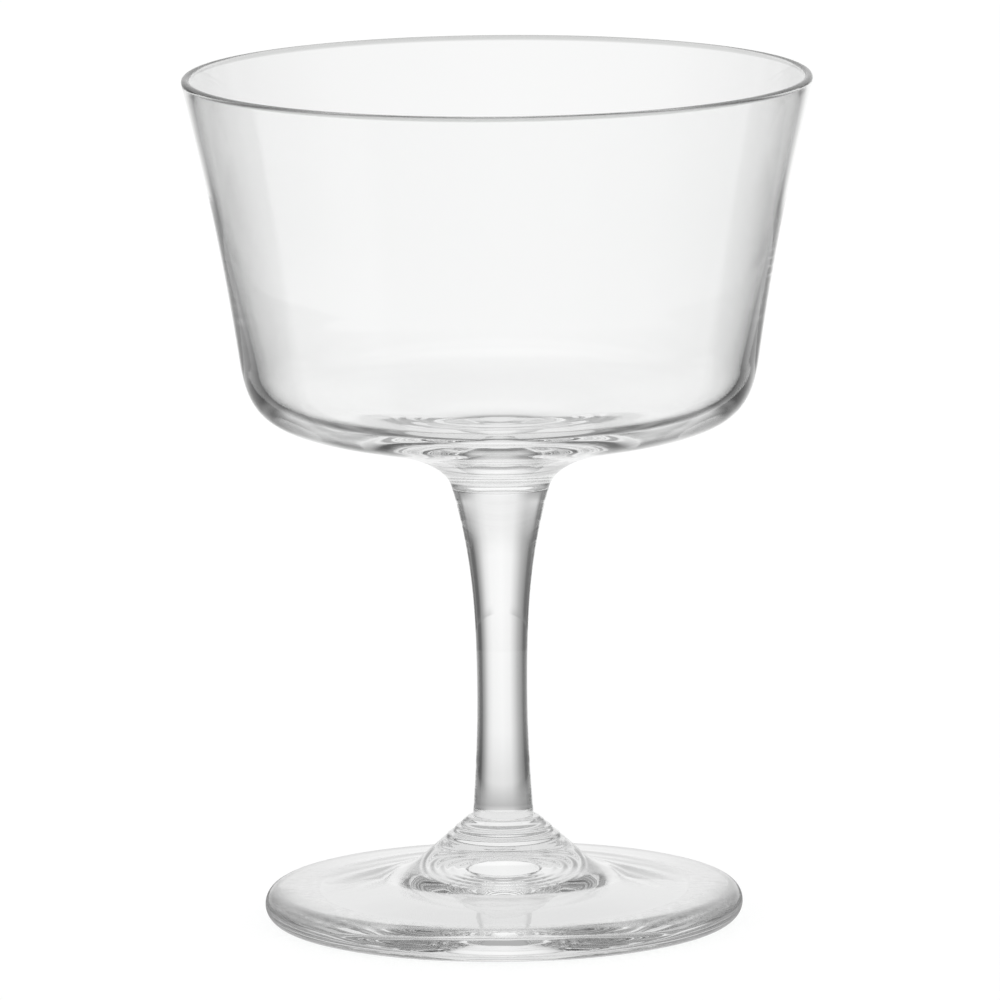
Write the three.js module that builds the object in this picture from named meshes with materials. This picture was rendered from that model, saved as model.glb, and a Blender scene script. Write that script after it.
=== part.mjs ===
// Stemmed cocktail glass: a thin blown bowl, a drawn stem and a pressed foot, fused together while hot.
// Millimetres, +Z up. The origin is on the table, under the middle of the foot.

import * as THREE from "three";

// Heights, stacked from the table up to the lip
const FOOT_HEIGHT = 15.4;          // table to the seam under the stem
const STEM_LENGTH = 48.9;          // seam to seam
const NECK_HEIGHT = 10.5;          // seam above the stem to the bowl's outer corner
const WALL_HEIGHT = 50.2;          // outer corner to the top of the lip

// Bowl
const RIM_DIAMETER = 92;           // outside, across the lip
const BASE_DIAMETER = 73.4;        // outside, where the wall line would meet the underside
const WALL_LEAN = 8.25;            // degrees from upright, just above the corner
const UNDERSIDE_SLOPE = 13.5;      // degrees from level, falling towards the neck
const OUTER_CORNER_RADIUS = 9.7;
const INNER_CORNER_RADIUS = 7;
const LIP_THICKNESS = 1.2;         // fire-polished to a full round
const WALL_THICKNESS = 2.2;        // level, at the foot of the wall
const FLOOR_RISE = 2.4;            // inside corner above the outside one
const FLOOR_DISH = 13.5;           // degrees from level, the floor's fall towards its middle

// Stem
const NECK_DIAMETER = 14.3;        // at the seam with the bowl
const NECK_LEAN = 16;              // degrees from upright, on both sides of that seam
const WAIST_DIAMETER = 7.4;        // the slimmest place
const WAIST_RISE = 17.4;           // seam with the foot to the slimmest place
const STEM_END_DIAMETER = 8.9;     // at the seam with the foot
const STEM_END_LEAN = 4;           // degrees from upright, at that seam

// Foot
const FOOT_DIAMETER = 70.2;
const EDGE_THICKNESS = 5;          // a full round
const RING_WIDTH = 4;              // flat ring that the glass stands on
const HOLLOW_DEPTH = 2.2;          // hollow under the foot
const HOLLOW_FLAT_DIAMETER = 16;   // flat middle of that hollow
const TOP_SLOPE = 6;               // degrees from level, from the edge up to the boss
const BOSS_SLOPE = 42;             // degrees from level, from the boss's fillet up to the stem's seat
const BOSS_FILLET = 6;             // hollow rounding between the top and the boss
const SEAT_LEDGE = 0.25;           // flat margin of the seat round the stem
const SEAT_ROUND = 1;              // rounding outside the seat

// How firmly each free curve holds its direction at its ends, as shares of the curve's span
const NECK_HOLD = 0.225;           // bowl's underside, at the stem
const UNDERSIDE_HOLD = 0.4;        // bowl's underside, at the corner
const FLARE_HOLD = 0.363;          // upper stem, at both ends
const STEM_END_HOLD = 0.345;       // lower stem, at both ends
const HOLLOW_HOLD = 0.25;          // hollow under the foot, at its flat middle

// Facets
const TURN_STEPS = 48;
const CURVE_STEPS = 6;

// Places that two pieces share
const stemBottom = FOOT_HEIGHT;
const stemTop = stemBottom + STEM_LENGTH;
const baseHeight = stemTop + NECK_HEIGHT;
const lipHeight = baseHeight + WALL_HEIGHT;
const neckRadius = NECK_DIAMETER / 2;
const stemEndRadius = STEM_END_DIAMETER / 2;

const UPRIGHT = Math.PI / 2;
const FULL_TURN = Math.PI * 2;
const OUTER_FLANK = 1;
const INNER_FLANK = -1;
const radians = THREE.MathUtils.degToRad;

// A place on a profile: distance from the axis and height above the table.
function place(radius, height) {
  return new THREE.Vector2(radius, height);
}

// The place some distance away from another, in a direction given as an angle.
function beyond(start, angle, distance) {
  return place(start.x + Math.cos(angle) * distance, start.y + Math.sin(angle) * distance);
}

// The place where two lines cross. Each goes through a place, square to an angle.
function crossing(first, firstSquare, second, secondSquare) {
  const along = firstSquare + UPRIGHT;
  const reach = second.clone().sub(first).dot(beyond(place(0, 0), secondSquare, 1));
  return beyond(first, along, reach / Math.cos(along - secondSquare));
}

// The angle at which a line from a lower place touches one flank of a circle.
function touchAngle(circle, point, flank) {
  const down = point.clone().sub(circle.centre);
  return Math.atan2(down.y, down.x) + flank * Math.acos(circle.radius / down.length());
}

// The arc that rounds a corner between two lines. The lines are square to the angles "from" and "to".
function cornerArc(corner, from, to, radius) {
  const reach = radius / Math.cos((to - from) / 2);
  const centre = beyond(corner, (from + to) / 2, -reach);
  const start = beyond(centre, from, radius);
  const end = beyond(centre, to, radius);
  return { centre, radius, from, to, start, end };
}

function lineTo(profile, end) {
  profile.lineTo(end.x, end.y);
}

// Goes straight to the start of an arc, and then along it.
function arcTo(profile, arc) {
  const clockwise = arc.from > arc.to;
  profile.absarc(arc.centre.x, arc.centre.y, arc.radius, arc.from, arc.to, clockwise);
}

function bendTo(profile, control, end) {
  profile.quadraticCurveTo(control.x, control.y, end.x, end.y);
}

// A free curve that leaves in one direction and arrives in another.
function sweepTo(profile, leaving, leavingHold, end, arriving, arrivingHold) {
  const start = profile.currentPoint;
  const span = start.distanceTo(end);
  const first = beyond(start, leaving, leavingHold * span);
  const second = beyond(end, arriving, -arrivingHold * span);
  profile.bezierCurveTo(first.x, first.y, second.x, second.y, end.x, end.y);
}

function profileFrom(start) {
  const profile = new THREE.Path();
  profile.moveTo(start.x, start.y);
  return profile;
}

function clearGlass(colour) {
  return new THREE.MeshStandardMaterial({ color: colour, roughness: 0.02, metalness: 0 });
}

// Turns a profile into a solid. It runs anticlockwise, from the axis and back to the axis.
function turned(name, profile, material) {
  const geometry = new THREE.LatheGeometry(profile.getPoints(CURVE_STEPS), TURN_STEPS);
  geometry.rotateX(Math.PI / 2);
  const mesh = new THREE.Mesh(geometry, material);
  mesh.name = name;
  return mesh;
}

// Blown bowl: outside from the neck to the lip, round the lip, and down the inside to the floor.
// The wall bends outwards on the outside and is straight inside, so it thins quickly above the corner.
function makeBowl() {
  const lean = radians(WALL_LEAN);
  const underside = radians(UNDERSIDE_SLOPE);
  const dish = radians(FLOOR_DISH);
  const neckDirection = UPRIGHT - radians(NECK_LEAN);
  const neck = place(neckRadius, stemTop);
  const outerCorner = place(BASE_DIAMETER / 2, baseHeight);
  const outerArc = cornerArc(outerCorner, underside - UPRIGHT, -lean, OUTER_CORNER_RADIUS);
  const innerCornerRadius = outerCorner.x + Math.tan(lean) * FLOOR_RISE - WALL_THICKNESS;
  const innerCorner = place(innerCornerRadius, baseHeight + FLOOR_RISE);

  const lipRadius = LIP_THICKNESS / 2;
  const lip = { centre: place(RIM_DIAMETER / 2 - lipRadius, lipHeight - lipRadius), radius: lipRadius };
  const bendHeight = (outerArc.end.y + lip.centre.y) / 2;
  const bendRadius = outerCorner.x + Math.tan(lean) * (bendHeight - outerCorner.y);
  const wallBend = place(bendRadius, bendHeight);
  lip.from = touchAngle(lip, wallBend, OUTER_FLANK);
  lip.to = touchAngle(lip, innerCorner, INNER_FLANK) + FULL_TURN;

  const innerArc = cornerArc(innerCorner, lip.to - Math.PI, dish - UPRIGHT, INNER_CORNER_RADIUS);
  const floorBend = innerArc.end.x / 2;
  const floorMiddle = innerArc.end.y - Math.tan(dish) * (innerArc.end.x - floorBend);

  const profile = profileFrom(place(0, stemTop));
  lineTo(profile, neck);
  sweepTo(profile, neckDirection, NECK_HOLD, outerArc.start, underside, UNDERSIDE_HOLD);
  arcTo(profile, outerArc);
  bendTo(profile, wallBend, beyond(lip.centre, lip.from, lip.radius));
  arcTo(profile, lip);
  arcTo(profile, innerArc);
  bendTo(profile, place(floorBend, floorMiddle), place(0, floorMiddle));
  return turned("bowl", profile, clearGlass(0xf3f7f5));
}

// Drawn stem: slightly thicker at the foot, slim at the waist, and flared into the bowl.
function makeStem() {
  const endDirection = UPRIGHT + radians(STEM_END_LEAN);
  const neckDirection = UPRIGHT - radians(NECK_LEAN);
  const end = place(stemEndRadius, stemBottom);
  const waist = place(WAIST_DIAMETER / 2, stemBottom + WAIST_RISE);
  const neck = place(neckRadius, stemTop);

  const profile = profileFrom(place(0, stemBottom));
  lineTo(profile, end);
  sweepTo(profile, endDirection, STEM_END_HOLD, waist, UPRIGHT, STEM_END_HOLD);
  sweepTo(profile, UPRIGHT, FLARE_HOLD, neck, neckDirection, FLARE_HOLD);
  lineTo(profile, place(0, stemTop));
  return turned("stem", profile, clearGlass(0xeef3f1));
}

// Pressed foot: hollow underside, flat standing ring, full-round edge and a conical boss for the stem.
function makeFoot() {
  const topSquare = UPRIGHT - radians(TOP_SLOPE);
  const bossSquare = UPRIGHT - radians(BOSS_SLOPE);
  const edgeRadius = EDGE_THICKNESS / 2;
  const edgeCentre = place(FOOT_DIAMETER / 2 - edgeRadius, edgeRadius);
  const edge = { centre: edgeCentre, radius: edgeRadius, from: -UPRIGHT, to: topSquare };

  const ringInner = place(edgeCentre.x - RING_WIDTH, 0);
  const hollowFlat = place(HOLLOW_FLAT_DIAMETER / 2, HOLLOW_DEPTH);
  const hollowReach = (ringInner.x - hollowFlat.x) * HOLLOW_HOLD;
  const hollowBend = place(hollowFlat.x + hollowReach, HOLLOW_DEPTH);

  const seatCentre = place(stemEndRadius + SEAT_LEDGE, stemBottom - SEAT_ROUND);
  const seat = { centre: seatCentre, radius: SEAT_ROUND, from: bossSquare, to: UPRIGHT };
  const aboveTop = beyond(edgeCentre, topSquare, edgeRadius + BOSS_FILLET);
  const aboveBoss = beyond(seatCentre, bossSquare, SEAT_ROUND + BOSS_FILLET);
  const filletCentre = crossing(aboveTop, topSquare, aboveBoss, bossSquare);
  const filletFrom = topSquare - Math.PI;
  const filletTo = bossSquare - Math.PI;
  const fillet = { centre: filletCentre, radius: BOSS_FILLET, from: filletFrom, to: filletTo };

  const profile = profileFrom(place(0, HOLLOW_DEPTH));
  lineTo(profile, hollowFlat);
  bendTo(profile, hollowBend, ringInner);
  arcTo(profile, edge);
  arcTo(profile, fillet);
  arcTo(profile, seat);
  lineTo(profile, place(0, stemBottom));
  return turned("foot", profile, clearGlass(0xe6eeea));
}

const glass = new THREE.Group();
glass.name = "cocktail_glass";
glass.add(makeBowl(), makeStem(), makeFoot());

export default glass;
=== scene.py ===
# Clear stemmed cocktail glass: a blown bowl, a drawn stem and a pressed foot, fused while hot.
# Metres, +Z up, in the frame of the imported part. The origin is on the table, under the middle of the foot.

import math

import bpy
from mathutils import Matrix, Vector


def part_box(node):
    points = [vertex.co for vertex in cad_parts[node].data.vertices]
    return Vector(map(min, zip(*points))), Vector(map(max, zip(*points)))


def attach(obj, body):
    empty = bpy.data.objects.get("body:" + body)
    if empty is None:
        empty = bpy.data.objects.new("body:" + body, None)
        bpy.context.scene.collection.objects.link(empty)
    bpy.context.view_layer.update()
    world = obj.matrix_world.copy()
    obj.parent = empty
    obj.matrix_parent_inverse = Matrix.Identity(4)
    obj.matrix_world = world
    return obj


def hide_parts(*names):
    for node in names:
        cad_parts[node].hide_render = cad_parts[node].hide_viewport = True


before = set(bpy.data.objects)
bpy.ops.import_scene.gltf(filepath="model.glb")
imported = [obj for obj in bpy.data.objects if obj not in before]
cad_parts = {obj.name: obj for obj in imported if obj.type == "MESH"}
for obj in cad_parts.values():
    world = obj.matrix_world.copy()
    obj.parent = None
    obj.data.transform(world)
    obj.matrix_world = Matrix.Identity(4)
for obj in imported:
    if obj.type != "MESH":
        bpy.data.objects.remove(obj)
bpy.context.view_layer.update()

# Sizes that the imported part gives
_, bowl_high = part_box("bowl")
stem_low, stem_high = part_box("stem")
_, foot_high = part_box("foot")
RIM_RADIUS = bowl_high.x
LIP_HEIGHT = bowl_high.z
NECK_RADIUS = stem_high.x
NECK_SEAM = stem_high.z
FOOT_SEAM = stem_low.z
FOOT_RADIUS = foot_high.x

# Bowl
BASE_RADIUS = 0.0367               # outside, where the wall line would meet the underside
NECK_HEIGHT = 0.0105               # upper seam to the bowl's outer corner
WALL_LEAN = math.radians(8.25)
UNDERSIDE_SLOPE = math.radians(13.5)
OUTER_CORNER_RADIUS = 0.0097
INNER_CORNER_RADIUS = 0.007
LIP_THICKNESS = 0.0012
WALL_THICKNESS = 0.0022
FLOOR_RISE = 0.0024
FLOOR_DISH = math.radians(13.5)

# Stem
NECK_LEAN = math.radians(16)
WAIST_RADIUS = 0.0037
WAIST_RISE = 0.0174
STEM_END_RADIUS = 0.00445
STEM_END_LEAN = math.radians(4)

# Foot
EDGE_RADIUS = 0.0025
RING_WIDTH = 0.004
DISC_HEIGHT = 0.0041               # table to the smooth disc in the middle of the hollow
DISC_RADIUS = 0.0036
DISC_EDGE = 0.0006                 # width of the rounded step round that disc
DISC_STEP = 0.0003                 # its depth
TOP_SLOPE = math.radians(6)
BOSS_SLOPE = math.radians(42)
BOSS_FILLET = 0.012
SEAT_LEDGE = 0.00025
SEAT_ROUND = 0.001

# Ripples that pressing left round the foot: how many, along which length of the slope, and how deep
BOSS_RIPPLES = 3
BOSS_RIPPLES_LENGTH = 0.0048
BOSS_RIPPLE_DEPTH = 0.00009
HOLLOW_RIPPLES = 5
HOLLOW_RIPPLES_LENGTH = 0.0065
HOLLOW_RIPPLE_DEPTH = 0.00003

# How firmly each free curve holds its direction at its ends, as shares of the curve's span
NECK_HOLD = 0.225
UNDERSIDE_HOLD = 0.4
FLARE_HOLD = 0.363
STEM_END_HOLD = 0.345
DISC_HOLD = 0.5

# Fused seams: the pieces meet in a fine groove, with a hair's breadth between their faces
GROOVE_ROUND = 0.00012
SEAM_GAP = 0.00001

# How much longer than an arc the rounding of the bowl's corners is, so that it starts gently
CORNER_EASE = 1.35

# Facets
TURN_STEPS = 192
CURVE_STEPS = 24
LINE_STEPS = 6
GROOVE_STEPS = 5
RIPPLE_STEPS = 12
MERGE_DISTANCE = 1e-6

# Camera, as the photograph was taken
CAMERA_PLACE = Vector((-0.000083, -1.827, 0.36571))
VIEW_PITCH = math.radians(9.43)
VIEW_ROLL = math.radians(-0.509)
LENS = 455.57
SENSOR = 36.0
VIEW_REACH = 20.0

UPRIGHT = math.pi / 2
OUTER_FLANK = 1
INNER_FLANK = -1


# Profiles: places are a distance from the axis and a height above the table

def place(radius, height):
    return Vector((radius, height))


def beyond(start, angle, distance):
    return start + Vector((math.cos(angle), math.sin(angle))) * distance


def crossing(first, first_square, second, second_square):
    """The place where two lines cross. Each goes through a place, square to an angle."""
    along = first_square + UPRIGHT
    reach = (second - first).dot(beyond(place(0, 0), second_square, 1))
    return beyond(first, along, reach / math.cos(along - second_square))


def touch_angle(centre, radius, point, flank):
    """The angle at which a line from a lower place touches one flank of a circle."""
    down = point - centre
    return math.atan2(down.y, down.x) + flank * math.acos(radius / down.length)


def arc(centre, start_angle, end_angle, radius, steps=CURVE_STEPS):
    turn = (end_angle - start_angle) / steps
    return [beyond(centre, start_angle + turn * step, radius) for step in range(steps + 1)]


def corner_arc(corner, start_angle, end_angle, radius, steps=CURVE_STEPS):
    """The arc that rounds a corner between two lines, which are square to the two angles."""
    reach = radius / math.cos((end_angle - start_angle) / 2)
    centre = beyond(corner, (start_angle + end_angle) / 2, -reach)
    return arc(centre, start_angle, end_angle, radius, steps)


def straight(start, end):
    return [start.lerp(end, step / LINE_STEPS) for step in range(1, LINE_STEPS + 1)]


def bend(start, control, end):
    points = []
    for step in range(1, CURVE_STEPS + 1):
        t = step / CURVE_STEPS
        points.append(start * (1 - t) ** 2 + control * 2 * t * (1 - t) + end * t ** 2)
    return points


def sweep(start, leaving, leaving_hold, end, arriving, arriving_hold):
    """A free curve that leaves in one direction and arrives in another."""
    span = (end - start).length
    first = beyond(start, leaving, leaving_hold * span)
    second = beyond(end, arriving, -arriving_hold * span)
    points = []
    for step in range(1, CURVE_STEPS + 1):
        t = step / CURVE_STEPS
        near = start * (1 - t) ** 3 + first * 3 * t * (1 - t) ** 2
        far = second * 3 * t ** 2 * (1 - t) + end * t ** 3
        points.append(near + far)
    return points


def eased_corner(corner, start_angle, end_angle, radius):
    """Rounds a corner as deep as an arc would, but bends gently at both ends."""
    half_turn = abs(end_angle - start_angle) / 2
    ahead = math.copysign(UPRIGHT, end_angle - start_angle)
    reach = CORNER_EASE * radius * math.tan(half_turn)
    depth = radius / math.cos(half_turn) - radius
    start = beyond(corner, start_angle + ahead, -reach)
    end = beyond(corner, end_angle + ahead, reach)
    # The curve's middle moves three quarters as far as its two inner controls
    hold = (reach - depth / math.sin(half_turn)) * 4 / 3 / (end - start).length
    return [start] + sweep(start, start_angle + ahead, hold, end, end_angle + ahead, hold)


def rippled(start, end, ripples, depth):
    """A straight stretch with ripples, which swell from nothing and die away again."""
    square = (end - start).orthogonal().normalized()
    steps = ripples * RIPPLE_STEPS
    points = []
    for step in range(1, steps + 1):
        t = step / steps
        swell = depth * math.sin(math.pi * t)
        points.append(start.lerp(end, t) + square * swell * math.sin(math.tau * ripples * t))
    return points


def part_way(start, end, length):
    return start + (end - start).normalized() * length


def bowl_profile():
    """Outside from the neck to the lip, round the lip, and down the inside to the floor."""
    seam = NECK_SEAM + SEAM_GAP
    groove = corner_arc(place(NECK_RADIUS, seam), -UPRIGHT, -NECK_LEAN, GROOVE_ROUND, GROOVE_STEPS)
    outer_corner = place(BASE_RADIUS, NECK_SEAM + NECK_HEIGHT)
    outer = eased_corner(outer_corner, UNDERSIDE_SLOPE - UPRIGHT, -WALL_LEAN, OUTER_CORNER_RADIUS)
    inner_corner = place(
        outer_corner.x + math.tan(WALL_LEAN) * FLOOR_RISE - WALL_THICKNESS,
        outer_corner.y + FLOOR_RISE,
    )

    lip_round = LIP_THICKNESS / 2
    lip_centre = place(RIM_RADIUS - lip_round, LIP_HEIGHT - lip_round)
    bend_height = (outer[-1].y + lip_centre.y) / 2
    bend_radius = outer_corner.x + math.tan(WALL_LEAN) * (bend_height - outer_corner.y)
    wall_bend = place(bend_radius, bend_height)
    lip_start = touch_angle(lip_centre, lip_round, wall_bend, OUTER_FLANK)
    lip_end = touch_angle(lip_centre, lip_round, inner_corner, INNER_FLANK) + math.tau
    lip = arc(lip_centre, lip_start, lip_end, lip_round)

    inner = eased_corner(inner_corner, lip_end - math.pi, FLOOR_DISH - UPRIGHT, INNER_CORNER_RADIUS)
    floor_bend = inner[-1].x / 2
    floor_middle = inner[-1].y - math.tan(FLOOR_DISH) * (inner[-1].x - floor_bend)

    profile = [place(0, seam)] + groove
    profile += sweep(
        groove[-1], UPRIGHT - NECK_LEAN, NECK_HOLD, outer[0], UNDERSIDE_SLOPE, UNDERSIDE_HOLD
    )
    profile += outer[1:]
    profile += bend(outer[-1], wall_bend, lip[0])
    profile += lip[1:]
    profile += straight(lip[-1], inner[0])
    profile += inner[1:]
    profile += bend(inner[-1], place(floor_bend, floor_middle), place(0, floor_middle))
    return profile


def stem_profile():
    """A little thicker at the foot, slim at the waist, and flared into the bowl."""
    bottom = FOOT_SEAM + SEAM_GAP
    top = NECK_SEAM - SEAM_GAP
    end = corner_arc(
        place(STEM_END_RADIUS, bottom), -UPRIGHT, STEM_END_LEAN, GROOVE_ROUND, GROOVE_STEPS
    )
    neck = corner_arc(place(NECK_RADIUS, top), -NECK_LEAN, UPRIGHT, GROOVE_ROUND, GROOVE_STEPS)
    waist = place(WAIST_RADIUS, FOOT_SEAM + WAIST_RISE)

    profile = [place(0, bottom)] + end
    profile += sweep(
        end[-1], UPRIGHT + STEM_END_LEAN, STEM_END_HOLD, waist, UPRIGHT, STEM_END_HOLD
    )
    profile += sweep(waist, UPRIGHT, FLARE_HOLD, neck[0], UPRIGHT - NECK_LEAN, FLARE_HOLD)
    profile += neck[1:]
    profile += [place(0, top)]
    return profile


def foot_profile():
    """Hollow underside with a disc, flat standing ring, full-round edge and a conical boss."""
    top_square = UPRIGHT - TOP_SLOPE
    boss_square = UPRIGHT - BOSS_SLOPE
    edge_centre = place(FOOT_RADIUS - EDGE_RADIUS, EDGE_RADIUS)
    edge = arc(edge_centre, -UPRIGHT, top_square, EDGE_RADIUS)
    ring_inner = place(edge_centre.x - RING_WIDTH, 0)
    disc = place(DISC_RADIUS, DISC_HEIGHT)
    hollow_top = place(DISC_RADIUS + DISC_EDGE, DISC_HEIGHT - DISC_STEP)
    hollow_fall = ring_inner - hollow_top
    hollow_angle = math.atan2(hollow_fall.y, hollow_fall.x)
    hollow_smooth = part_way(hollow_top, ring_inner, HOLLOW_RIPPLES_LENGTH)

    seat_centre = place(STEM_END_RADIUS + SEAT_LEDGE, FOOT_SEAM - SEAT_ROUND)
    seat = arc(seat_centre, boss_square, UPRIGHT, SEAT_ROUND)
    above_top = beyond(edge_centre, top_square, EDGE_RADIUS + BOSS_FILLET)
    above_boss = beyond(seat_centre, boss_square, SEAT_ROUND + BOSS_FILLET)
    fillet_centre = crossing(above_top, top_square, above_boss, boss_square)
    fillet = arc(fillet_centre, top_square - math.pi, boss_square - math.pi, BOSS_FILLET)
    boss_rippled = part_way(seat[0], fillet[-1], BOSS_RIPPLES_LENGTH)

    profile = [place(0, DISC_HEIGHT), disc]
    profile += sweep(disc, 0, DISC_HOLD, hollow_top, hollow_angle, DISC_HOLD)
    profile += rippled(hollow_top, hollow_smooth, HOLLOW_RIPPLES, HOLLOW_RIPPLE_DEPTH)
    profile += straight(hollow_smooth, ring_inner)
    profile += edge
    profile += straight(edge[-1], fillet[0])
    profile += fillet[1:]
    profile += straight(fillet[-1], boss_rippled)
    profile += rippled(boss_rippled, seat[0], BOSS_RIPPLES, BOSS_RIPPLE_DEPTH)
    profile += seat[1:]
    profile += [place(STEM_END_RADIUS - GROOVE_ROUND, FOOT_SEAM), place(0, FOOT_SEAM)]
    return profile


# Node trees

def add(tree, kind, inputs=None, **settings):
    """Adds a node. Each input is given as a number or as the socket that feeds it."""
    node = tree.nodes.new(kind)
    for name, value in settings.items():
        setattr(node, name, value)
    for key, value in (inputs or {}).items():
        if isinstance(value, bpy.types.NodeSocket):
            tree.links.new(value, node.inputs[key])
        else:
            node.inputs[key].default_value = value
    return node


def calculate(tree, operation, *values):
    return add(tree, "ShaderNodeMath", dict(enumerate(values)), operation=operation).outputs[0]


# Places of a mix node's sockets, several of which share a name: first, second and result
MIX_SHARE = 0
MIX_SOCKETS = {"FLOAT": (2, 3, 0), "RGBA": (6, 7, 2)}


def blend(tree, share, first, second, kind="FLOAT"):
    first_socket, second_socket, result = MIX_SOCKETS[kind]
    inputs = {MIX_SHARE: share, first_socket: first, second_socket: second}
    return add(tree, "ShaderNodeMix", inputs, data_type=kind).outputs[result]


def share_between(tree, value, start, end):
    inputs = {"Value": value, "From Min": start, "From Max": end}
    return add(tree, "ShaderNodeMapRange", inputs).outputs[0]


def noise(tree, where, scale, detail, grain=0.5):
    inputs = {"Vector": where, "Scale": scale, "Detail": detail, "Roughness": grain}
    return add(tree, "ShaderNodeTexNoise", inputs).outputs[0]


def object_place(tree):
    return add(tree, "ShaderNodeTexCoord").outputs["Object"]


def height_of(tree, where):
    return add(tree, "ShaderNodeSeparateXYZ", {0: where}).outputs["Z"]


def new_material(name):
    material = bpy.data.materials.new(name)
    material.use_nodes = True
    material.node_tree.nodes.clear()
    return material


def turning_tree():
    """Turns a profile, given as a row of points, about the upright axis into a closed skin."""
    tree = bpy.data.node_groups.new("turned_glass", "GeometryNodeTree")
    for name, kind in (
        ("Profile", "NodeSocketGeometry"),
        ("Turn Steps", "NodeSocketInt"),
        ("Merge Distance", "NodeSocketFloat"),
        ("Finish", "NodeSocketMaterial"),
    ):
        tree.interface.new_socket(name, in_out="INPUT", socket_type=kind)
    tree.interface.new_socket("Skin", in_out="OUTPUT", socket_type="NodeSocketGeometry")

    given = add(tree, "NodeGroupInput").outputs
    count = add(
        tree, "GeometryNodeAttributeDomainSize", {"Geometry": given["Profile"]}, component="MESH"
    )
    columns = calculate(tree, "ADD", given["Turn Steps"], 1)
    grid = add(
        tree,
        "GeometryNodeMeshGrid",
        {"Vertices X": count.outputs["Point Count"], "Vertices Y": columns},
    )
    index = add(tree, "GeometryNodeInputIndex").outputs["Index"]
    row = calculate(tree, "FLOOR", calculate(tree, "DIVIDE", index, columns))
    column = calculate(tree, "MODULO", index, columns)
    # Turned clockwise, so that the faces point outwards
    step_angle = calculate(tree, "DIVIDE", -math.tau, given["Turn Steps"])
    angle = calculate(tree, "MULTIPLY", column, step_angle)
    position = add(tree, "GeometryNodeInputPosition").outputs["Position"]
    on_profile = add(
        tree,
        "GeometryNodeSampleIndex",
        {"Geometry": given["Profile"], "Value": position, "Index": row},
        data_type="FLOAT_VECTOR",
        domain="POINT",
    )
    turned = add(
        tree,
        "ShaderNodeVectorRotate",
        {"Vector": on_profile.outputs["Value"], "Angle": angle},
        rotation_type="Z_AXIS",
    )
    skin = add(
        tree,
        "GeometryNodeSetPosition",
        {"Geometry": grid.outputs["Mesh"], "Position": turned.outputs["Vector"]},
    )
    closed = add(
        tree,
        "GeometryNodeMergeByDistance",
        {"Geometry": skin.outputs["Geometry"], "Distance": given["Merge Distance"]},
    )
    smooth = add(tree, "GeometryNodeSetShadeSmooth", {"Geometry": closed.outputs["Geometry"]})
    real = add(tree, "GeometryNodeRealizeInstances", {"Geometry": smooth.outputs["Geometry"]})
    finished = add(
        tree,
        "GeometryNodeSetMaterial",
        {"Geometry": real.outputs["Geometry"], "Material": given["Finish"]},
    )
    add(tree, "NodeGroupOutput", {"Skin": finished.outputs["Geometry"]})
    return tree


def turned_piece(name, profile, tree, finish):
    """A plain mesh, made by turning a profile."""
    row = bpy.data.meshes.new(name)
    steps = [(step, step + 1) for step in range(len(profile) - 1)]
    row.from_pydata([(point.x, 0, point.y) for point in profile], steps, [])
    source = bpy.data.objects.new(name + "_profile", row)
    bpy.context.scene.collection.objects.link(source)
    modifier = source.modifiers.new("turned", "NODES")
    modifier.node_group = tree
    values = {"Turn Steps": TURN_STEPS, "Merge Distance": MERGE_DISTANCE, "Finish": finish}
    for socket in tree.interface.items_tree:
        if socket.name in values:
            modifier[socket.identifier] = values[socket.name]
    graph = bpy.context.evaluated_depsgraph_get()
    mesh = bpy.data.meshes.new_from_object(source.evaluated_get(graph))
    bpy.data.objects.remove(source)
    bpy.data.meshes.remove(row)
    mesh.materials.pop(index=0)    # the grid's own empty slot
    mesh.name = name
    piece = bpy.data.objects.new(name, mesh)
    bpy.context.scene.collection.objects.link(piece)
    return piece


def fuse(piece, finish, *heights):
    """Gives each flat end that is fused to the next piece, a fan of triangles, its own finish."""
    piece.data.materials.append(finish)
    for face in piece.data.polygons:
        level = any(abs(face.center.z - height) < 2 * SEAM_GAP for height in heights)
        if level and len(face.vertices) == 3:
            face.material_index = piece.data.materials.find(finish.name)


# Glass

GLASS_IOR = 1.5
# Share of the light that gets through to the floor
PASSING_TINT = (0.93, 0.94, 0.935, 1)
# Waves that hot work leaves in each piece: how they are stretched, how many to a metre, and how deep
BLOWN_WAVES = {"stretch": (1, 1, 0.6), "scale": 110.0, "depth": 0.00002}
DRAWN_WAVES = {"stretch": (1, 1, 0.08), "scale": 600.0, "depth": 0.000006}
PRESSED_WAVES = {"stretch": (1, 1, 1), "scale": 220.0, "depth": 0.00003}
WAVE_DETAIL = 1.5
WAVE_GRAIN = 0.4
# Thin film where the glass was handled: the patches of noise where it shows, and its roughness
FILM_SCALE = 55.0
FILM_DETAIL = 4.0
FILM_START = 0.52
FILM_FULL = 0.75
FILM_ROUGHNESS = 0.03
# Tint, which drifts in slow clouds between two almost clear colours
TINT_SCALE = 30.0
TINT_DETAIL = 1.0
CLEAREST_TINT = (0.998, 0.999, 0.9985, 1)
DEEPEST_TINT = (0.988, 0.992, 0.990, 1)
# Scuffs on the standing ring: their grain, their roughness and how far up they reach
SCUFF_SCALE = 900.0
SCUFF_DETAIL = 3.0
SCUFF_ROUGHNESS = 0.3
SCUFF_HEIGHT = 0.0003
# Painted shade at the lip: the grey given to its glass, and how far down it reaches
LIP_SHADE_GREY = (0.66, 0.665, 0.66, 1)
LIP_SHADE_DEPTH = 0.0008


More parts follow.
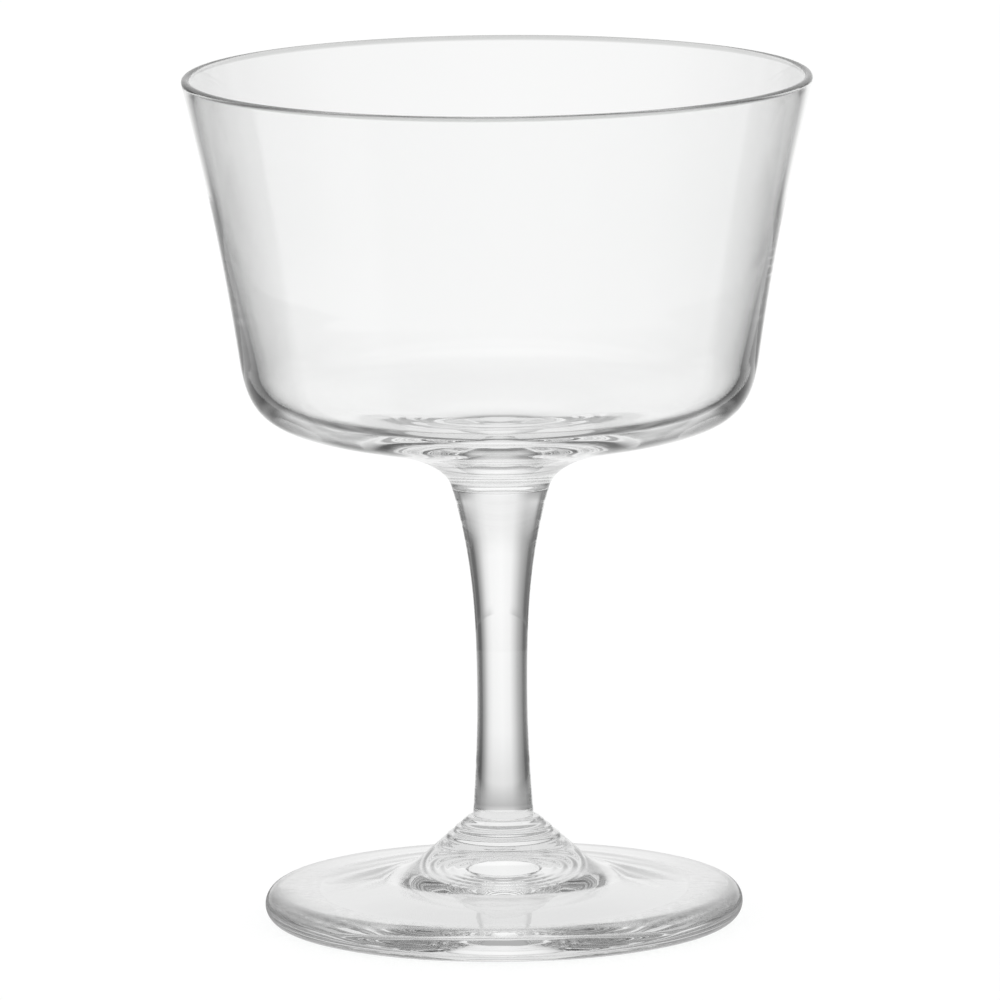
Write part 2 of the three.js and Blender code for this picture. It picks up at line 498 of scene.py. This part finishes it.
def worked_glass_group():
    """Marks of hot work and handling: waves, a film in patches, and a tint that comes and goes."""
    tree = bpy.data.node_groups.new("worked_glass", "ShaderNodeTree")
    tree.interface.new_socket("Stretch", in_out="INPUT", socket_type="NodeSocketVector")
    tree.interface.new_socket("Wave Scale", in_out="INPUT", socket_type="NodeSocketFloat")
    for name, kind in (("Waves", "Float"), ("Film", "Float"), ("Tint", "Color")):
        tree.interface.new_socket(name, in_out="OUTPUT", socket_type="NodeSocket" + kind)
    given = add(tree, "NodeGroupInput").outputs
    where = object_place(tree)
    stretched = add(
        tree, "ShaderNodeVectorMath", {0: where, 1: given["Stretch"]}, operation="MULTIPLY"
    )
    waves = noise(tree, stretched.outputs[0], given["Wave Scale"], WAVE_DETAIL, WAVE_GRAIN)
    patches = noise(tree, where, FILM_SCALE, FILM_DETAIL)
    film = share_between(tree, patches, FILM_START, FILM_FULL)
    clouds = noise(tree, where, TINT_SCALE, TINT_DETAIL)
    tint = add(tree, "ShaderNodeValToRGB", {"Fac": clouds})
    tint.color_ramp.elements[0].color = CLEAREST_TINT
    tint.color_ramp.elements[1].color = DEEPEST_TINT
    results = {"Waves": waves, "Film": film, "Tint": tint.outputs["Color"]}
    add(tree, "NodeGroupOutput", results)
    return tree


def clear_glass(name, group, waves, painted_shade=None, scuffs=None):
    """Glass with the marks of its making. Its roughness may be changed in places, and its tint darkened in
    places by painted shade.
    """
    material = new_material(name)
    tree = material.node_tree
    work = add(
        tree,
        "ShaderNodeGroup",
        {"Stretch": waves["stretch"], "Wave Scale": waves["scale"]},
        node_tree=group,
    ).outputs
    roughness = calculate(tree, "MULTIPLY", work["Film"], FILM_ROUGHNESS)
    height = calculate(tree, "MULTIPLY", work["Waves"], waves["depth"])
    tint = work["Tint"]
    # Painted shade may darken the tint in places
    if painted_shade:
        tint = painted_shade(tree, tint)
    if scuffs:
        roughness = calculate(tree, "MAXIMUM", roughness, scuffs(tree))
    bumps = add(tree, "ShaderNodeBump", {"Strength": 1.0, "Distance": 1.0, "Height": height})
    glass = add(
        tree,
        "ShaderNodeBsdfPrincipled",
        {
            "Base Color": tint,
            "Roughness": roughness,
            "Normal": bumps.outputs[0],
            "IOR": GLASS_IOR,
            "Transmission Weight": 1.0,
        },
    )
    # Rays that light the floor pass unbent, so that it stays free of grain
    passing = add(tree, "ShaderNodeBsdfTransparent", {"Color": PASSING_TINT})
    path = add(tree, "ShaderNodeLightPath").outputs
    lights_floor = calculate(tree, "MAXIMUM", path["Is Shadow Ray"], path["Is Diffuse Ray"])
    surface = add(
        tree, "ShaderNodeMixShader", {0: lights_floor, 1: glass.outputs[0], 2: passing.outputs[0]}
    )
    add(tree, "ShaderNodeOutputMaterial", {"Surface": surface.outputs[0]})
    return material


def shaded_lip(tree, tint):
    """Painted shade: the glass round the lip is tinted grey."""
    height = height_of(tree, object_place(tree))
    lowest = LIP_HEIGHT - LIP_SHADE_DEPTH
    round_start = LIP_HEIGHT - LIP_THICKNESS / 2
    share = share_between(tree, height, lowest, round_start)
    return blend(tree, share, tint, LIP_SHADE_GREY, "RGBA")


def standing_scuffs(tree):
    """Roughness of the ring that the foot stands on."""
    where = object_place(tree)
    standing = calculate(tree, "LESS_THAN", height_of(tree, where), SCUFF_HEIGHT)
    grain = noise(tree, where, SCUFF_SCALE, SCUFF_DETAIL)
    roughness = calculate(tree, "MULTIPLY", grain, SCUFF_ROUGHNESS)
    return calculate(tree, "MULTIPLY", roughness, standing)


def fused_face():
    """Where two pieces are fused there is no air between them, so light passes unbent."""
    material = new_material("fused_face")
    tree = material.node_tree
    passing = add(tree, "ShaderNodeBsdfTransparent")
    add(tree, "ShaderNodeOutputMaterial", {"Surface": passing.outputs[0]})
    return material


# Studio

# The table and the floor lie a hair below the foot
FLOOR_DROP = 0.0001
FLOOR_REACH = 6.0
FLOOR_GREY = 0.45
FLOOR_GLOW = 0.57                  # makes the floor white to the camera
TENT_RADIUS = 0.8
TABLE_RADIUS = 0.42
ROUND_SIDES = 64
TENT_RINGS = 32
# Light that runs round inside the wall bounces often before it leaves
BOUNCES = 200

# Brightness round the set, by degrees from straight behind the glass: left is negative.
# The middle of the backdrop is bright, with a dark card on each side of it.
BACKDROP_AROUND = (
    (-62, 0.3), (-52, 0.13), (-44, 0.13), (-27, 0.46), (-12, 0.93), (0, 1.0), (14, 0.96), (22, 0.8),
    (33, 0.34), (42, 0.10), (50, 0.10), (60, 0.3),
)
TENT_AROUND = ((-180, 0.3),) + BACKDROP_AROUND + ((180, 0.3),)
# The table is bright again beside the glass and before it
TABLE_AROUND = (
    ((-180, 0.85), (-136, 0.85), (-129, 1.0), (-82, 1.0), (-79, 0.4))
    + BACKDROP_AROUND
    + ((73, 0.4), (76, 0.80), (142, 0.80), (149, 0.85), (180, 0.85))
)
# The tent above the cards
UPPER_AROUND = (
    (-180, 0.4), (-120, 0.4), (-66, 0.25), (-50, 0.25), (-42, 0.9), (0, 1.0),
    (42, 0.9), (50, 0.25), (66, 0.25), (120, 0.4), (180, 0.4),
)
# The shade below the table's far edge and close to the foot, where only a narrow middle is bright
SHADE_AROUND = (
    (-180, 0.4), (-60, 0.45), (-46, 0.36), (-30, 0.22), (-18, 0.28), (-9, 1.0),
    (9, 1.0), (18, 0.28), (30, 0.22), (46, 0.36), (60, 0.45), (180, 0.4),
)
# Where the lower tent loses light, which is mostly beside the glass
DARK_AROUND = (
    (-180, 0.2), (-138, 0.2), (-108, 0.4), (-90, 1), (-66, 1), (-56, 0),
    (56, 0), (66, 1), (90, 1), (108, 0.4), (138, 0.2), (180, 0.2),
)
# Where it loses a little light above the middle of the backdrop
MIDDLE_AROUND = ((-180, 0), (-32, 0), (-24, 1), (24, 1), (32, 0), (180, 0))

# How far each of these counts on the tent, by degrees above level as seen from the table
SHADE_UP = ((-10, 1), (-5, 1), (-2, 0), (90, 0))
UPPER_UP = ((-10, 0), (8, 0), (20, 1), (90, 1))
DARK_UP = ((-10, 0.7), (25, 0.7), (38, 0), (90, 0))
MIDDLE_UP = ((-10, 0), (4, 0), (7, 0.1), (24, 0.1), (32, 0), (90, 0))
# Near the top, the tent is the same all round
TOP_UP = ((-10, 0), (28, 0), (42, 1), (90, 1))
# Brightness of the tent, by the same degrees
TENT_UP = ((-10, 1.0), (25, 1.0), (38, 0.45), (52, 0.45), (60, 1.0), (90, 1.0))

# Brightness of the table, by metres from the middle of the foot. The dark ring just outside the foot is a
# painted shadow of the glass
TABLE_OUT = (
    (0, 0.8), (0.042, 0.75), (0.045, 0.18), (0.056, 0.18), (0.064, 0.46), (0.07, 0.58),
    (0.08, 0.78), (0.1, 0.87), (0.13, 0.94), (0.25, 0.97), (0.42, 1.0),
)
# How far it changes round the set, and how far it is that of the shade
SPREAD_OUT = ((0, 0), (0.053, 0), (0.075, 1), (0.42, 1))
SHADE_OUT = ((0, 0), (0.0335, 0), (0.0355, 1), (0.042, 1), (0.045, 0), (0.42, 0))


def make_camera():
    data = bpy.data.cameras.new("photo_camera")
    data.lens = LENS
    data.sensor_width = SENSOR
    data.clip_end = VIEW_REACH
    camera = bpy.data.objects.new("photo_camera", data)
    pitch = Matrix.Rotation(UPRIGHT - VIEW_PITCH, 4, "X")
    roll = Matrix.Rotation(VIEW_ROLL, 4, "Z")
    camera.matrix_world = Matrix.Translation(CAMERA_PLACE) @ pitch @ roll
    bpy.context.scene.collection.objects.link(camera)
    bpy.context.scene.camera = camera
    return camera


def make_rig(camera):
    """The set turns with the camera, as when a glass is turned on a turntable before a fixed set."""
    rig = bpy.data.objects.new("set_rig", None)
    bpy.context.scene.collection.objects.link(rig)
    follow = rig.constraints.new("COPY_ROTATION")
    follow.target = camera
    follow.use_x = False
    follow.use_y = False
    return rig


def brightness_ramp(tree, value, stops):
    """Looks a brightness up between stops, each a value and its brightness."""
    lowest = stops[0][0]
    span = stops[-1][0] - lowest
    share = calculate(tree, "DIVIDE", calculate(tree, "SUBTRACT", value, lowest), span)
    node = add(tree, "ShaderNodeValToRGB", {"Fac": share})
    ramp = node.color_ramp
    while len(ramp.elements) < len(stops):
        ramp.elements.new(1.0)
    # All stops are moved into place before any is coloured, because moving one can reorder them
    for element, (stop, _) in zip(ramp.elements, stops):
        element.position = (stop - lowest) / span
    for element, (_, brightness) in zip(ramp.elements, stops):
        element.color = (brightness, brightness, brightness, 1)
    return node.outputs["Color"]


def set_group():
    """Brightness at a place in the set, from its direction round the glass."""
    tree = bpy.data.node_groups.new("round_the_set", "ShaderNodeTree")
    tree.interface.new_socket("Place", in_out="INPUT", socket_type="NodeSocketVector")
    outputs = {
        "Tent": TENT_AROUND,
        "Upper": UPPER_AROUND,
        "Table": TABLE_AROUND,
        "Shade": SHADE_AROUND,
        "Dark": DARK_AROUND,
        "Middle": MIDDLE_AROUND,
    }
    for name in outputs:
        tree.interface.new_socket(name, in_out="OUTPUT", socket_type="NodeSocketFloat")
    place_in_set = add(tree, "NodeGroupInput").outputs["Place"]
    axes = add(tree, "ShaderNodeSeparateXYZ", {0: place_in_set}).outputs
    around = calculate(tree, "DEGREES", calculate(tree, "ARCTAN2", axes["X"], axes["Y"]))
    results = {name: brightness_ramp(tree, around, stops) for name, stops in outputs.items()}
    add(tree, "NodeGroupOutput", results)
    return tree


def set_finish(name, group, brightness):
    """Light whose brightness is worked out from its place in the set."""
    material = new_material(name)
    tree = material.node_tree
    place_in_set = object_place(tree)
    around = add(tree, "ShaderNodeGroup", {"Place": place_in_set}, node_tree=group).outputs
    strength = brightness(tree, place_in_set, around)
    light = add(tree, "ShaderNodeEmission", {"Strength": strength})
    add(tree, "ShaderNodeOutputMaterial", {"Surface": light.outputs[0]})
    material.cycles.emission_sampling = "NONE"
    return material


def tent_brightness(tree, place_in_set, around):
    way = add(tree, "ShaderNodeVectorMath", {0: place_in_set}, operation="NORMALIZE").outputs[0]
    rise = calculate(tree, "DEGREES", calculate(tree, "ARCSINE", height_of(tree, way)))
    light = around["Tent"]
    for other, stops in ((around["Shade"], SHADE_UP), (around["Upper"], UPPER_UP), (1.0, TOP_UP)):
        light = blend(tree, brightness_ramp(tree, rise, stops), light, other)
    light = calculate(tree, "MULTIPLY", light, brightness_ramp(tree, rise, TENT_UP))
    for name, stops in (("Dark", DARK_UP), ("Middle", MIDDLE_UP)):
        loss = calculate(tree, "MULTIPLY", around[name], brightness_ramp(tree, rise, stops))
        light = calculate(tree, "MULTIPLY", light, calculate(tree, "SUBTRACT", 1.0, loss))
    return light


def table_brightness(tree, place_in_set, around):
    out = add(tree, "ShaderNodeVectorMath", {0: place_in_set}, operation="LENGTH").outputs["Value"]
    light = blend(tree, brightness_ramp(tree, out, SPREAD_OUT), 1.0, around["Table"])
    light = blend(tree, brightness_ramp(tree, out, SHADE_OUT), light, around["Shade"])
    return calculate(tree, "MULTIPLY", light, brightness_ramp(tree, out, TABLE_OUT))


def level_round(name, radius, material):
    """A flat round sheet, a hair below the foot."""
    bpy.ops.mesh.primitive_circle_add(
        vertices=ROUND_SIDES, radius=radius, fill_type="NGON", location=(0, 0, -FLOOR_DROP)
    )
    sheet = bpy.context.object
    sheet.name = name
    sheet.data.materials.append(material)
    return sheet


def seen_by_glass_alone(stage_piece):
    stage_piece.visible_camera = False
    stage_piece.visible_diffuse = False
    stage_piece.visible_shadow = False
    stage_piece.visible_volume_scatter = False


def make_set(rig):
    """A light tent over a table, which only the glass sees."""
    group = set_group()
    bpy.ops.mesh.primitive_uv_sphere_add(
        segments=ROUND_SIDES, ring_count=TENT_RINGS, radius=TENT_RADIUS
    )
    tent = bpy.context.object
    tent.name = "light_tent"
    tent.data.materials.append(set_finish("light_tent", group, tent_brightness))
    table = level_round("set_table", TABLE_RADIUS, set_finish("set_table", group, table_brightness))
    for stage_piece in (tent, table):
        stage_piece.parent = rig
        seen_by_glass_alone(stage_piece)


def make_floor():
    """The white ground, which the glass doesn't see."""
    material = new_material("pale_floor")
    tree = material.node_tree
    matt = add(tree, "ShaderNodeBsdfDiffuse", {"Color": (FLOOR_GREY, FLOOR_GREY, FLOOR_GREY, 1)})
    path = add(tree, "ShaderNodeLightPath").outputs
    glow_strength = calculate(tree, "MULTIPLY", path["Is Camera Ray"], FLOOR_GLOW)
    glow = add(tree, "ShaderNodeEmission", {"Strength": glow_strength})
    both = add(tree, "ShaderNodeAddShader", {0: matt.outputs[0], 1: glow.outputs[0]})
    add(tree, "ShaderNodeOutputMaterial", {"Surface": both.outputs[0]})
    material.cycles.emission_sampling = "NONE"
    floor = level_round("pale_floor", FLOOR_REACH, material)
    floor.visible_glossy = False
    floor.visible_transmission = False


def make_world():
    world = bpy.data.worlds.new("soft_white")
    world.use_nodes = True
    tree = world.node_tree
    tree.nodes.clear()
    white = add(tree, "ShaderNodeBackground", {"Color": (1, 1, 1, 1), "Strength": 1.0})
    add(tree, "ShaderNodeOutputWorld", {"Surface": white.outputs[0]})
    bpy.context.scene.world = world


def set_up_view():
    scene = bpy.context.scene
    scene.view_settings.view_transform = "Standard"
    scene.cycles.max_bounces = BOUNCES
    scene.cycles.transmission_bounces = BOUNCES
    scene.cycles.glossy_bounces = BOUNCES
    scene.cycles.transparent_max_bounces = BOUNCES


camera = make_camera()
rig = make_rig(camera)
make_set(rig)
make_floor()
make_world()
set_up_view()

turning = turning_tree()
fused = fused_face()
work = worked_glass_group()
# The bowl's lip is darkened by painted shade, a grey tint in its glass
blown_glass = clear_glass("blown_glass", work, BLOWN_WAVES, painted_shade=shaded_lip)
drawn_glass = clear_glass("drawn_glass", work, DRAWN_WAVES)
pressed_glass = clear_glass("pressed_glass", work, PRESSED_WAVES, scuffs=standing_scuffs)

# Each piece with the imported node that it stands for, and the heights at which it is fused
for name, node, profile, glass, seams in (
    ("blown_bowl", "bowl", bowl_profile(), blown_glass, (NECK_SEAM,)),
    ("drawn_stem", "stem", stem_profile(), drawn_glass, (NECK_SEAM, FOOT_SEAM)),
    ("pressed_foot", "foot", foot_profile(), pressed_glass, (FOOT_SEAM,)),
):
    piece = turned_piece(name, profile, turning, glass)
    fuse(piece, fused, *seams)
    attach(piece, "root")
    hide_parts(node)
